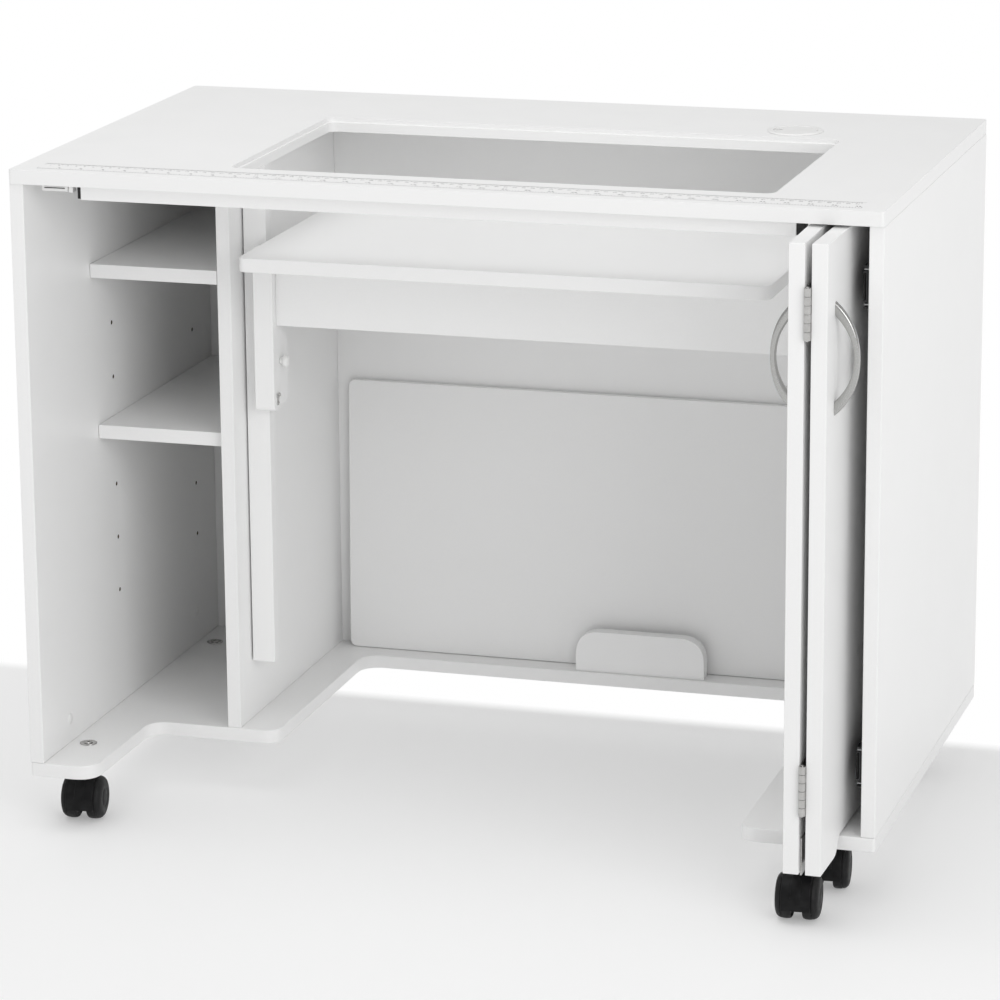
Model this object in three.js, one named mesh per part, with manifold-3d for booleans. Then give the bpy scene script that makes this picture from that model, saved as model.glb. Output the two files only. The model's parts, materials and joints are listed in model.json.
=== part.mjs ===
// Sewing table on casters: a white board cabinet with a machine opening in its worktop, a platform
// that moves up and down behind the opening, open shelves on the left, and a two-leaf folding door
// that slides back into a pocket on the right.
// Units are millimetres, +Z is up, -Y is the front. Inside the cabinet group, x runs from the left
// side, y from the front edge of the worktop, and z from the underside of the bottom panel.
import * as THREE from 'three';
import { mergeVertices } from 'three/addons/utils/BufferGeometryUtils.js';
import Module from 'manifold-3d';

const wasm = await Module();
wasm.setup();

// ---- driving dimensions ---------------------------------------------------------------------
const WIDTH = 970;
const DEPTH = 577;
const HEIGHT = 695;            // worktop surface above the underside of the bottom panel
const CASTER_HEIGHT = 66;      // floor to the underside of the bottom panel
const BOARD = 16;
const SET_IN = 2;              // the carcass stands this far behind the worktop's front edge
const UNDER = HEIGHT - BOARD;  // underside of the worktop
const BACK_FACE = 567;         // front face of the thin back panel
const BACK_BOARD = 6;

const BAY_FRONT = 184;         // front edge of the dividers and of the shelf bay's floor
const LEFT_DIVIDER_X = 170;
const RIGHT_DIVIDER_X = 867;
const KNEE_BACK_Y = 548;       // front face of the back board between the dividers
const KNEE_LEFT = 231;         // edges of the cut-away in the bottom panel
const KNEE_RIGHT = 820;
const STRIP_FRONT = 500;
const FOOT_WIDTH = 76;

const OPENING = { x0: 230.5, x1: 837.5, y0: 69.5, y1: 402 };
const LEDGE = 3;               // width of the step round the machine opening
const LEDGE_DEPTH = 5;
const GROMMET = { x: 775, y: 444, hole: 27, flange: 32 };

const PLATFORM = { x0: 234.5, x1: 832.5, y0: 76, y1: 394.5, top: 594 };
const POST = { width: 29, depth: 18, y0: 224, z0: 86 };
const GROOVE = { width: 2, depth: 12 };   // rebate where the post meets the divider
const CARRIAGE = { y0: 205, y1: 253, z0: 389, reach: 23 };
const CROSS_PLATE = { y0: 216, z0: 487.5 };
const KNOB = { y: 227.5, z: 444.5 };

const RAIL = { x0: 76, x1: 873, y0: 20, drop: 18 };
const BUFFER = { left: 4, right: 9.5 };   // how far each rubber buffer stands past the rail's end
const SHELVES = [
  { name: 'upper_shelf', y0: BAY_FRONT, z0: 538 },
  { name: 'lower_shelf', y0: 195, z0: 347.5 },
];
const PIN_COLUMNS = [245.5, 503];
const PIN_ROWS = [153, 217, 281, 345, 409, 473];
const PIN_R = 2.5;
const HOLE_DEPTH = 8;

const INSERT = { x0: 203.5, width: 605, height: 334, thick: 10, y: 528.5, lean: 1.5 };
const STOP = { x: 497.5, y: 504, width: 159, height: 50 };

const DOOR_BOARD = 17;
const LEAF_WIDTH = 468;
const FOLD_PIN = { x: 910, y: -88.5 };
const LEAF_GAP = 3.5;          // each leaf's inner face from the fold pin
const LEAF_SET = 2.5;          // leaf edge behind the fold pin
const LEAF_BOTTOM = 19;
const LEAF_TOP = 676;
const TAB_LENGTH = 78;         // the leaf hangs lower over this length, to carry the caster
const RIGHT_SPLAY = -1.0;      // degrees each leaf stands off the pocket's line
const LEFT_SPLAY = 0.5;
const HINGE_HEIGHT = 55;
const KNUCKLES = 6;
const HINGE_Z = [94, 603.5];   // middle of the lower and the upper fold hinge
const SLIDE_Z = [87, 610];
const SLIDE = { y0: 25, length: 350, height: 45 };

const WHEEL_R = 25;
const WHEEL_TRAIL = 20;        // wheel axle in front of the swivel axis
const WHEEL = { inner: 6, width: 18, axleR: 4 };
const FENDER = { half: 16.5, gap: 0.8, wall: 1.7, from: -160, to: 62 };   // degrees from the back
const CASTERS = [
  { name: 'front_left', x: 36.5, y: 85, turn: 6 },
  { name: 'front_right', x: 904.5, y: 85, turn: 6 },
  { name: 'rear_left', x: 36.5, y: 500, turn: 8 },
  { name: 'rear_right', x: 904.5, y: 500, turn: -8 },
];
const DOOR_CASTER = { x: -14, y: 71.5, turn: 3 };   // under the left leaf, from the fold pin
const BRACKET_Z = -3;

const rad = THREE.MathUtils.degToRad;

// ---- materials --------------------------------------------------------------------------------
const material = (color, roughness, metalness = 0) =>
  new THREE.MeshStandardMaterial({ color, roughness, metalness });
const melamine = material(0xe9e9e8, 0.45);
const metal = material(0xb9b9b7, 0.3, 1);
const satinNickel = material(0xa9a8a4, 0.38, 1);
const steel = material(0x8f9194, 0.4, 1);
const blackPlastic = material(0x151515, 0.5);
const whitePlastic = material(0xf2f2f0, 0.4);

// ---- helpers ----------------------------------------------------------------------------------
const table = new THREE.Group();
const cabinet = new THREE.Group();
cabinet.position.set(-WIDTH / 2, 0, CASTER_HEIGHT);
table.add(cabinet);

function add(name, geometry, mat, parent = cabinet) {
  const mesh = new THREE.Mesh(geometry, mat);
  mesh.name = name;
  parent.add(mesh);
  return mesh;
}

function boxGeometry(x0, x1, y0, y1, z0, z1) {
  const geometry = new THREE.BoxGeometry(x1 - x0, y1 - y0, z1 - z0);
  return geometry.translate((x0 + x1) / 2, (y0 + y1) / 2, (z0 + z1) / 2);
}

function cylinderGeometry(radius, z0, z1, sides = 24) {
  const geometry = new THREE.CylinderGeometry(radius, radius, z1 - z0, sides);
  return geometry.rotateX(Math.PI / 2).translate(0, 0, (z0 + z1) / 2);
}

// Extrudes an outline in XY upwards from z0.
function plate(shape, z0, thickness, curveSegments = 6) {
  const settings = { depth: thickness, bevelEnabled: false, curveSegments };
  const geometry = new THREE.ExtrudeGeometry(shape, settings);
  return geometry.translate(0, 0, z0);
}

// Extrudes an outline given as (y, z) along x.
function profileAlongX(shape, x0, length, curveSegments = 6) {
  const geometry = new THREE.ExtrudeGeometry(shape, { depth: length, bevelEnabled: false, curveSegments });
  const turn = new THREE.Matrix4().makeBasis(
    new THREE.Vector3(0, 1, 0), new THREE.Vector3(0, 0, 1), new THREE.Vector3(1, 0, 0));
  return geometry.applyMatrix4(turn).translate(x0, 0, 0);
}

// A closed outline through corner points, each rounded by its own radius.
function roundedShape(corners) {
  const shape = new THREE.Shape();
  const count = corners.length;
  corners.forEach(([x, y, radius = 0], i) => {
    const here = new THREE.Vector2(x, y);
    const before = new THREE.Vector2(...corners[(i + count - 1) % count].slice(0, 2)).sub(here).normalize();
    const after = new THREE.Vector2(...corners[(i + 1) % count].slice(0, 2)).sub(here).normalize();
    const start = before.multiplyScalar(radius).add(here);
    const end = after.multiplyScalar(radius).add(here);
    if (i === 0) shape.moveTo(start.x, start.y);
    else shape.lineTo(start.x, start.y);
    if (radius > 0) shape.quadraticCurveTo(x, y, end.x, end.y);
  });
  shape.closePath();
  return shape;
}

const rectangle = (x0, x1, y0, y1, radius = 0) =>
  roundedShape([[x0, y0, radius], [x1, y0, radius], [x1, y1, radius], [x0, y1, radius]]);

function toSolid(geometry) {
  const bare = geometry.clone();
  bare.deleteAttribute('normal');
  bare.deleteAttribute('uv');
  const merged = mergeVertices(bare, 1e-4);
  return new wasm.Manifold(new wasm.Mesh({
    numProp: 3,
    vertProperties: new Float32Array(merged.attributes.position.array),
    triVerts: new Uint32Array(merged.index.array),
  }));
}

function fromSolid(solid) {
  const mesh = solid.getMesh();
  const geometry = new THREE.BufferGeometry();
  geometry.setAttribute('position', new THREE.BufferAttribute(new Float32Array(mesh.vertProperties), 3));
  geometry.setIndex(new THREE.BufferAttribute(new Uint32Array(mesh.triVerts), 1));
  geometry.computeVertexNormals();
  return geometry;
}

const joined = (...parts) => fromSolid(parts.map(toSolid).reduce((a, b) => a.add(b)));
const cut = (body, ...tools) =>
  fromSolid(tools.map(toSolid).reduce((a, b) => a.subtract(b), toSolid(body)));

// ---- carcass ----------------------------------------------------------------------------------
function addWorktop() {
  const blank = plate(rectangle(0, WIDTH, 0, DEPTH, 4), UNDER, BOARD, 3);
  const { x0, x1, y0, y1 } = OPENING;
  const well = plate(rectangle(x0 + LEDGE, x1 - LEDGE, y0 + LEDGE, y1 - LEDGE, 12), UNDER - 1, BOARD + 2);
  const step = plate(rectangle(x0, x1, y0, y1, 14), HEIGHT - LEDGE_DEPTH, BOARD);
  const cableHole = cylinderGeometry(GROMMET.hole, UNDER - 1, HEIGHT + 1, 32);
  cableHole.translate(GROMMET.x, GROMMET.y, 0);
  add('worktop', cut(blank, well, step, cableHole), melamine);
}

// Blind holes for shelf pins, in two columns; facing is +1 where the board's bored face looks to +x.
function boredPanel(x0, facing, y0, y1, z0, z1) {
  const face = facing > 0 ? x0 + BOARD : x0;
  const holes = [];
  for (const y of PIN_COLUMNS) {
    for (const z of PIN_ROWS) {
      const hole = new THREE.CylinderGeometry(PIN_R, PIN_R, 2 * HOLE_DEPTH, 12).rotateZ(Math.PI / 2);
      holes.push(hole.translate(face, y, z));
    }
  }
  return cut(boxGeometry(x0, x0 + BOARD, y0, y1, z0, z1), ...holes);
}

function addCarcass() {
  add('left_side_panel', boredPanel(0, 1, SET_IN, DEPTH - 1, BOARD, UNDER), melamine);
  add('right_side_panel', boxGeometry(WIDTH - BOARD, WIDTH, SET_IN, DEPTH - 1, BOARD, UNDER), melamine);
  add('left_divider', boredPanel(LEFT_DIVIDER_X, -1, BAY_FRONT, BACK_FACE, BOARD, UNDER), melamine);
  add('right_divider',
    boxGeometry(RIGHT_DIVIDER_X, RIGHT_DIVIDER_X + BOARD, BAY_FRONT, BACK_FACE, BOARD, UNDER), melamine);
  add('back_panel',
    boxGeometry(BOARD, WIDTH - BOARD, BACK_FACE, BACK_FACE + BACK_BOARD, BOARD, UNDER), melamine);
  const kneeLeft = LEFT_DIVIDER_X + BOARD;
  add('knee_back_board',
    boxGeometry(kneeLeft, RIGHT_DIVIDER_X, KNEE_BACK_Y, KNEE_BACK_Y + BOARD, BOARD, UNDER), melamine);
  const floor = roundedShape([
    [0, SET_IN, 4], [FOOT_WIDTH, SET_IN, 28], [FOOT_WIDTH, BAY_FRONT - 2, 26],
    [KNEE_LEFT, BAY_FRONT - 2, 22], [KNEE_LEFT, STRIP_FRONT, 28], [KNEE_RIGHT, STRIP_FRONT, 28],
    [KNEE_RIGHT, SET_IN, 20], [WIDTH, SET_IN, 4], [WIDTH, DEPTH - 1, 4], [0, DEPTH - 1, 4],
  ]);
  add('bottom_panel', plate(floor, 0, BOARD, 8), melamine);
}

function addFrontRail() {
  const { x0, x1, y0, drop } = RAIL;
  add('front_rail', boxGeometry(x0, x1, y0, y0 + BOARD, UNDER - drop, UNDER), melamine);
  const buffer = (from, to) => boxGeometry(from, to, y0 + 1, y0 + BOARD - 1, UNDER - drop + 1, UNDER - 3);
  add('rail_buffer_left', buffer(x0 - BUFFER.left, x0), blackPlastic);
  add('rail_buffer_right', buffer(x1, x1 + BUFFER.right), blackPlastic);
  add('magnet_catch', boxGeometry(30, 66, y0 + 2, y0 + BOARD - 2, UNDER - 12, UNDER), steel);
}

function addShelves() {
  for (const { name, y0, z0 } of SHELVES) {
    add(name, boxGeometry(BOARD + 0.5, LEFT_DIVIDER_X - 0.5, y0, BACK_FACE - 2, z0, z0 + BOARD), melamine);
  }
  const pinZ = SHELVES[1].z0 - PIN_R;
  const length = HOLE_DEPTH + 6;
  let number = 1;
  for (const x of [BOARD + length / 2 - HOLE_DEPTH + 0.5, LEFT_DIVIDER_X - length / 2 + HOLE_DEPTH - 0.5]) {
    for (const y of PIN_COLUMNS) {
      const pin = new THREE.CylinderGeometry(PIN_R - 0.2, PIN_R - 0.2, length, 12).rotateZ(Math.PI / 2);
      add(`shelf_pin_${number}`, pin.translate(x, y, pinZ), metal);
      number += 1;
    }
  }
}

// ---- loose insert board and its stop ------------------------------------------------------------
function addInsert() {
  const board = plate(rectangle(0, INSERT.width, 0, INSERT.height, 9), -INSERT.thick, INSERT.thick);
  board.rotateX(Math.PI / 2 - rad(INSERT.lean));
  add('insert_board', board.translate(INSERT.x0, INSERT.y, BOARD + 0.6), melamine);
  const { x, y, width, height } = STOP;
  const outline = roundedShape([[0, 0], [width, 0], [width, height, 30], [0, height, 30]]);
  const block = plate(outline, -BOARD, BOARD, 8).rotateX(Math.PI / 2);
  add('insert_stop', block.translate(x, y, BOARD), melamine);
}

// ---- grommet --------------------------------------------------------------------------------------
function addGrommet() {
  const { x, y, hole, flange } = GROMMET;
  const outline = [[hole - 2, HEIGHT - 18], [hole - 0.5, HEIGHT - 18], [hole - 0.5, HEIGHT],
    [flange, HEIGHT], [flange - 1, HEIGHT + 2], [hole - 2, HEIGHT + 2], [hole - 2, HEIGHT - 18]];
  const ring = new THREE.LatheGeometry(outline.map(([r, z]) => new THREE.Vector2(r, z)), 48);
  add('grommet_ring', ring.rotateX(Math.PI / 2).translate(x, y, 0), whitePlastic);
  const cap = cylinderGeometry(hole - 2.5, HEIGHT - 1, HEIGHT + 1.5, 48);
  const slot = boxGeometry(-hole, -hole + 9, -5, 5, HEIGHT - 3, HEIGHT + 3);
  add('grommet_cap', cut(cap, slot).translate(x, y, 0), whitePlastic);
}

// ---- lift -----------------------------------------------------------------------------------------
function addPost(side, x0) {
  const { width, depth, y0, z0 } = POST;
  const outline = roundedShape([[0, z0, 2], [width, z0, 2], [width, UNDER], [0, UNDER]]);
  const post = plate(outline, -depth, depth).rotateX(Math.PI / 2);
  const grooveX = side === 'left' ? -1 : width - GROOVE.width;
  const groove = boxGeometry(grooveX, grooveX + GROOVE.width + 1, -1, GROOVE.depth, z0 - 1, UNDER + 1);
  add(`lift_post_${side}`, cut(post, groove).translate(x0, y0, 0), melamine);
}

// The carriage hugs the post's front inner corner; inward is +1 for the left one and -1 for the right.
function addCarriage(side, postX, inward) {
  const { y0, y1, z0, reach } = CARRIAGE;
  const top = PLATFORM.top - BOARD - 0.5;
  const clear = 0.5;
  const outer = postX + inward * (POST.width - 10);
  const inner = outer + inward * reach;
  const split = postX + inward * (POST.width + clear);
  const span = (a, b) => [Math.min(a, b), Math.max(a, b)];
  const front = profileAlongX(
    roundedShape([[y0, z0, 8], [POST.y0 - clear, z0], [POST.y0 - clear, top], [y0, top]]),
    span(outer, inner)[0], reach);
  const sidePlate = profileAlongX(
    roundedShape([[y0 + 10, z0 + 4], [y1, z0 + 4, 10], [y1, top], [y0 + 10, top]]),
    span(split, inner)[0], Math.abs(inner - split));
  const behindPlate = CROSS_PLATE.y0 + BOARD + 1;
  const flange = boxGeometry(...span(split, inner + inward * 45), behindPlate, y1, top - 4, top);
  add(`lift_carriage_${side}`, joined(front, sidePlate, flange), melamine);
  return inner;
}

function addKnob(side, faceX, inward) {
  const knob = new THREE.LatheGeometry([[0, 0.5], [4, 0.5], [4, 3], [7, 5], [7.5, 9], [5.5, 12], [0, 12.5]]
    .map(([r, h]) => new THREE.Vector2(r, h)), 24);
  knob.rotateZ(-inward * Math.PI / 2);
  add(`latch_knob_${side}`, knob.translate(faceX, KNOB.y, KNOB.z), whitePlastic);
}

function addLift() {
  const leftPostX = LEFT_DIVIDER_X + BOARD;
  addPost('left', leftPostX);
  addPost('right', RIGHT_DIVIDER_X - POST.width);
  const inner = [addCarriage('left', leftPostX, 1), addCarriage('right', RIGHT_DIVIDER_X, -1)];
  addKnob('left', inner[0], 1);
  addKnob('right', inner[1], -1);
  const { x0, x1, y0, y1, top } = PLATFORM;
  const board = roundedShape([[x0, y0, 10], [x1, y0, 14], [x1, y1, 14], [x0, y1, 10]]);
  add('lift_platform', plate(board, top - BOARD, BOARD), melamine);
  add('lift_cross_plate', boxGeometry(inner[0], inner[1], CROSS_PLATE.y0, CROSS_PLATE.y0 + BOARD,
    CROSS_PLATE.z0, top - BOARD), melamine);
}

// ---- door slides ------------------------------------------------------------------------------------
function channel(y0, length, x0, x1, half, wall, z) {
  const section = new THREE.Shape();
  const points = [[x0, half], [x1, half], [x1, -half], [x0, -half],
    [x0, wall - half], [x1 - wall, wall - half], [x1 - wall, half - wall], [x0, half - wall]];
  section.setFromPoints(points.map(([x, h]) => new THREE.Vector2(x, h)));
  const geometry = new THREE.ExtrudeGeometry(section, { depth: length, bevelEnabled: false });
  return geometry.rotateX(Math.PI / 2).translate(0, y0 + length, z);
}

function addSlides() {
  const wall = WIDTH - BOARD;
  const { y0, length, height } = SLIDE;
  ['lower', 'upper'].forEach((level, i) => {
    const z = SLIDE_Z[i];
    const half = height / 2;
    add(`slide_outer_${level}`, channel(y0, length, wall - 10, wall, half, 1.5, z), steel);
    add(`slide_middle_${level}`, channel(y0 + 2, length - 4, wall - 10, wall - 4, half - 3, 1.5, z), steel);
    add(`slide_inner_${level}`,
      channel(y0 + 4, length - 8, wall - 11.5, wall - 7, half - 6.5, 1.5, z), steel);
  });
  const x1 = wall - 11.5;
  const strip = boxGeometry(x1 - 2, x1, 338, 392, SLIDE_Z[0] - 15, SLIDE_Z[1] + 15);
  const parts = [strip];
  for (const z of SLIDE_Z) {
    parts.push(boxGeometry(932, x1, 389.5, 392, z - 20, z + 20));
    parts.push(cylinderGeometry(3.5, z - 20, z + 20, 16).translate(933, 388, 0));
  }
  add('pocket_carrier', joined(...parts), steel);
}

// ---- folding door -------------------------------------------------------------------------------------
const door = new THREE.Group();
door.position.set(FOLD_PIN.x, FOLD_PIN.y, 0);
const rightLeaf = new THREE.Group();
const leftLeaf = new THREE.Group();
rightLeaf.rotation.z = rad(RIGHT_SPLAY);
leftLeaf.rotation.z = rad(LEFT_SPLAY);
door.add(rightLeaf, leftLeaf);
cabinet.add(door);

function addLeaf(name, x0, parent) {
  const y0 = LEAF_SET;
  const y1 = LEAF_SET + LEAF_WIDTH;
  const outline = roundedShape([
    [y0, 0, 1], [y0 + TAB_LENGTH - 8, 0, 10], [y0 + TAB_LENGTH + 4, LEAF_BOTTOM, 8],
    [y1, LEAF_BOTTOM, 1], [y1, LEAF_TOP, 1], [y0, LEAF_TOP, 1]]);
  add(name, profileAlongX(outline, x0, DOOR_BOARD), melamine, parent);
}

// A crescent grip: a flat arc whose ends stand on the leaf's outer face.
function addHandle(name, faceX, outward, parent) {
  const half = 60;
  const rise = 26;
  const bulge = rise * 1.02;
  const innerRise = rise - 6;
  const shape = new THREE.Shape();
  shape.moveTo(0, -half);
  shape.quadraticCurveTo(bulge, -half * 0.62, rise, 0);
  shape.quadraticCurveTo(bulge, half * 0.62, 0, half);
  shape.lineTo(0, half - 15);
  shape.quadraticCurveTo(innerRise, half * 0.42, innerRise, 0);
  shape.quadraticCurveTo(innerRise, -half * 0.42, 0, -half + 15);
  shape.closePath();
  const grip = new THREE.ExtrudeGeometry(shape, { depth: 8, bevelEnabled: false, curveSegments: 14 });
  grip.rotateX(Math.PI / 2);
  if (outward < 0) grip.rotateZ(Math.PI).translate(0, -8, 0);
  add(name, grip.translate(faceX, 43, 550), satinNickel, parent);
}

function addFoldHinge(level, z) {
  const pitch = HINGE_HEIGHT / KNUCKLES;
  const bottom = z - HINGE_HEIGHT / 2;
  const barrel = 3.75;
  const pinR = 1.6;
  const build = (even) => {
    const direction = even ? 1 : -1;
    const faceX = direction * LEAF_GAP;
    const plateX = [faceX - direction * 1.52, faceX - direction * 0.02].sort((a, b) => a - b);
    const parts = [boxGeometry(...plateX, 4.2, 26, bottom, bottom + HINGE_HEIGHT)];
    for (let i = even ? 0 : 1; i < KNUCKLES; i += 2) {
      const z0 = bottom + i * pitch + 0.2;
      const z1 = bottom + (i + 1) * pitch - 0.2;
      parts.push(cylinderGeometry(barrel, z0, z1, 20));
      parts.push(boxGeometry(...plateX, 0.5, 5, z0, z1));
    }
    return parts;
  };
  const pin = cylinderGeometry(pinR, bottom - 1, bottom + HINGE_HEIGHT + 1, 16);
  const bore = cylinderGeometry(pinR + 0.3, bottom - 2, bottom + HINGE_HEIGHT + 2, 16);
  add(`fold_hinge_${level}_right`, joined(...build(true), pin), metal, rightLeaf);
  add(`fold_hinge_${level}_left`, cut(joined(...build(false)), bore), metal, leftLeaf);
}

function addDoor() {
  addLeaf('right_leaf', LEAF_GAP, rightLeaf);
  addLeaf('left_leaf', -LEAF_GAP - DOOR_BOARD, leftLeaf);
  addHandle('right_handle', LEAF_GAP + DOOR_BOARD, 1, rightLeaf);
  addHandle('left_handle', -LEAF_GAP - DOOR_BOARD, -1, leftLeaf);
  ['lower', 'upper'].forEach((level, i) => addFoldHinge(level, HINGE_Z[i]));
  const { x, y, turn } = DOOR_CASTER;
  const blade = boxGeometry(-LEAF_GAP, -LEAF_GAP + 2, 10, y + 16, BRACKET_Z, 38);
  const foot = boxGeometry(x - 14, -LEAF_GAP + 2, y - 18, y + 16, BRACKET_Z, BRACKET_Z + 2.5);
  add('door_caster_bracket', joined(blade, foot), metal, leftLeaf);
  addCaster('door', x, y, BRACKET_Z, turn, leftLeaf);
}

// ---- casters -----------------------------------------------------------------------------------
function addCaster(name, x, y, top, turn, parent = cabinet) {
  const swivel = new THREE.Group();
  swivel.position.set(x, y, 0);
  swivel.rotation.z = rad(turn);
  parent.add(swivel);
  const axleZ = WHEEL_R - CASTER_HEIGHT;
  const axleY = -WHEEL_TRAIL;
  const reach = WHEEL.inner + WHEEL.width;
  const inner = WHEEL_R + FENDER.gap;
  const outer = inner + FENDER.wall;
  const from = rad(FENDER.from);
  const to = rad(FENDER.to);
  const arch = new THREE.Shape();
  arch.absarc(0, 0, outer, from, to, true);
  arch.absarc(0, 0, inner, to, from, false);
  arch.closePath();
  const web = new THREE.Shape();
  web.absarc(0, 0, inner + 1, from, to, true);
  web.lineTo(WHEEL_TRAIL, inner - 3);
  web.lineTo(WHEEL_TRAIL, 6);
  web.lineTo(7, -8);
  web.closePath();
  const across = (radius, length, sides) => {
    const bar = new THREE.CylinderGeometry(radius, radius, length, sides);
    return bar.rotateZ(Math.PI / 2).translate(0, axleY, axleZ);
  };
  const solid = joined(
    profileAlongX(arch, -FENDER.half, 2 * FENDER.half, 20).translate(0, axleY, axleZ),
    profileAlongX(web, -4, 8, 20).translate(0, axleY, axleZ),
    cylinderGeometry(5.5, axleZ + 6, top - 2, 20),
    cylinderGeometry(11, axleZ + outer - 1, top - 1, 24),
    cylinderGeometry(4, top - 2, top, 16));
  add(`${name}_caster_body`, cut(solid, across(WHEEL.axleR + 0.3, 20, 20)), blackPlastic, swivel);
  const wheel = (side) =>
    across(WHEEL_R, WHEEL.width, 40).translate(side * (WHEEL.inner + WHEEL.width / 2), 0, 0);
  add(`${name}_caster_wheels`, joined(wheel(-1), wheel(1), across(WHEEL.axleR, 2 * reach - 4, 20)),
    blackPlastic, swivel);
}

function addCasters() {
  CASTERS.forEach(({ name, x, y, turn }, i) => {
    addCaster(name, x, y, 0, turn);
    const nut = cylinderGeometry(10, BOARD, BOARD + 1.5, 32).translate(x, y, 0);
    add(`caster_nut_${i + 1}`, nut, metal);
  });
}

addWorktop();
addCarcass();
addFrontRail();
addShelves();
addInsert();
addGrommet();
addLift();
addSlides();
addDoor();
addCasters();

// The origin is on the floor, under the middle of the whole table with its door stowed.
const front = FOLD_PIN.y - 3.75;
table.position.y = -(front + DEPTH) / 2;

export default table;
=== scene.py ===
import json
import math

import bmesh
import bpy
from mathutils import Matrix, Vector


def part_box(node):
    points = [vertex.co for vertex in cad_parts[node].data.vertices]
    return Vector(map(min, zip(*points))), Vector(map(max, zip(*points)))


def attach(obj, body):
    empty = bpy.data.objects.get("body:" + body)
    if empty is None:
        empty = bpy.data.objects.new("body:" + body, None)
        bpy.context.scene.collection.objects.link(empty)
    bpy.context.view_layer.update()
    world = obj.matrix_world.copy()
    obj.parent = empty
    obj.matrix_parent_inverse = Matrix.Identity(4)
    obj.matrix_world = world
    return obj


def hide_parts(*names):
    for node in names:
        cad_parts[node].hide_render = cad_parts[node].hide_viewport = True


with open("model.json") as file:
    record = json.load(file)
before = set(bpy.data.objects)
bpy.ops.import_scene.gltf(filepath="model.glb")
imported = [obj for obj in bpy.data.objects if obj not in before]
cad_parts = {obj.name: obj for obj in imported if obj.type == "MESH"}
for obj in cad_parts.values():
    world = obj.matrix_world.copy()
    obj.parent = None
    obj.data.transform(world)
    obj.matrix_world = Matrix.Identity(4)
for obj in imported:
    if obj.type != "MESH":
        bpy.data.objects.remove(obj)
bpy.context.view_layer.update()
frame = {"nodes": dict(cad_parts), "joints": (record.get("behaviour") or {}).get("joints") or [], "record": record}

# The cabinet's own measures are in millimetres from the worktop's left front corner, with z from
# the underside of the bottom panel.
MM = 0.001
INCH = 25.4
ORIGIN = Vector((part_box("worktop")[0].x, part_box("worktop")[0].y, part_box("bottom_panel")[0].z))
BODIES = frame["record"]["behaviour"]["bodies"]
BODY_OF = {node: body for body, nodes in BODIES.items() for node in nodes}
JOINTS = {joint["name"]: joint for joint in frame["joints"]}
CASTERS = ("front_left", "front_right", "rear_left", "rear_right", "door")


def at(x, y, z):
    return ORIGIN + Vector((x, y, z)) * MM


def cabinet_frame(x, y, z, turn=Matrix.Identity(4)):
    """Turns a shape drawn in millimetres about its own zero into its place in the cabinet."""
    return Matrix.Translation(at(x, y, z)) @ turn @ Matrix.Scale(MM, 4)


# ---- finishes ------------------------------------------------------------------------------------
def finish(name, color, roughness, metallic=0.0):
    mat = bpy.data.materials.new(name)
    mat.use_nodes = True
    shader = mat.node_tree.nodes["Principled BSDF"]
    shader.inputs["Base Color"].default_value = (*color, 1)
    shader.inputs["Roughness"].default_value = roughness
    shader.inputs["Metallic"].default_value = metallic
    return mat


def shader_of(mat):
    return mat.node_tree.nodes["Principled BSDF"]


def place(mat, stretch=(1, 1, 1)):
    """The piece's own coordinates, stretched along one direction for a drawn or brushed finish."""
    nodes, links = mat.node_tree.nodes, mat.node_tree.links
    coordinates = nodes.new("ShaderNodeTexCoord")
    mapping = nodes.new("ShaderNodeMapping")
    mapping.inputs["Scale"].default_value = stretch
    links.new(coordinates.outputs["Object"], mapping.inputs["Vector"])
    return mapping.outputs["Vector"]


def noise(mat, scale, detail=2.0, stretch=(1, 1, 1)):
    """Smooth noise with about scale cycles in a metre."""
    texture = mat.node_tree.nodes.new("ShaderNodeTexNoise")
    texture.inputs["Scale"].default_value = scale
    texture.inputs["Detail"].default_value = detail
    mat.node_tree.links.new(place(mat, stretch), texture.inputs["Vector"])
    return texture.outputs["Fac"]


def cells(mat, scale):
    """Distance to the nearest of about scale random points in a metre."""
    texture = mat.node_tree.nodes.new("ShaderNodeTexVoronoi")
    texture.inputs["Scale"].default_value = scale
    mat.node_tree.links.new(place(mat), texture.inputs["Vector"])
    return texture.outputs["Distance"]


def ramp(mat, factor, low, high, start=0.3, stop=0.7):
    """A colour that goes from low to high as the pattern goes from start to stop."""
    node = mat.node_tree.nodes.new("ShaderNodeValToRGB")
    node.color_ramp.elements[0].position = start
    node.color_ramp.elements[1].position = stop
    node.color_ramp.elements[0].color = (*low, 1)
    node.color_ramp.elements[1].color = (*high, 1)
    mat.node_tree.links.new(factor, node.inputs["Fac"])
    return node.outputs["Color"]


def blend_colors(mat, factor, first, second):
    node = mat.node_tree.nodes.new("ShaderNodeMix")
    node.data_type = "RGBA"
    links = mat.node_tree.links
    links.new(factor, node.inputs[0])
    links.new(first, node.inputs[6])
    links.new(second, node.inputs[7])
    return node.outputs[2]


def measured(mat, factor, low, high, start=0.3, stop=0.7):
    node = mat.node_tree.nodes.new("ShaderNodeMapRange")
    for name, value in (("From Min", start), ("From Max", stop), ("To Min", low), ("To Max", high)):
        node.inputs[name].default_value = value
    mat.node_tree.links.new(factor, node.inputs["Value"])
    return node.outputs["Result"]


def color_from(mat, color):
    mat.node_tree.links.new(color, shader_of(mat).inputs["Base Color"])


def roughness_from(mat, factor, low, high, start=0.3, stop=0.7):
    value = measured(mat, factor, low, high, start, stop)
    mat.node_tree.links.new(value, shader_of(mat).inputs["Roughness"])


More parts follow.
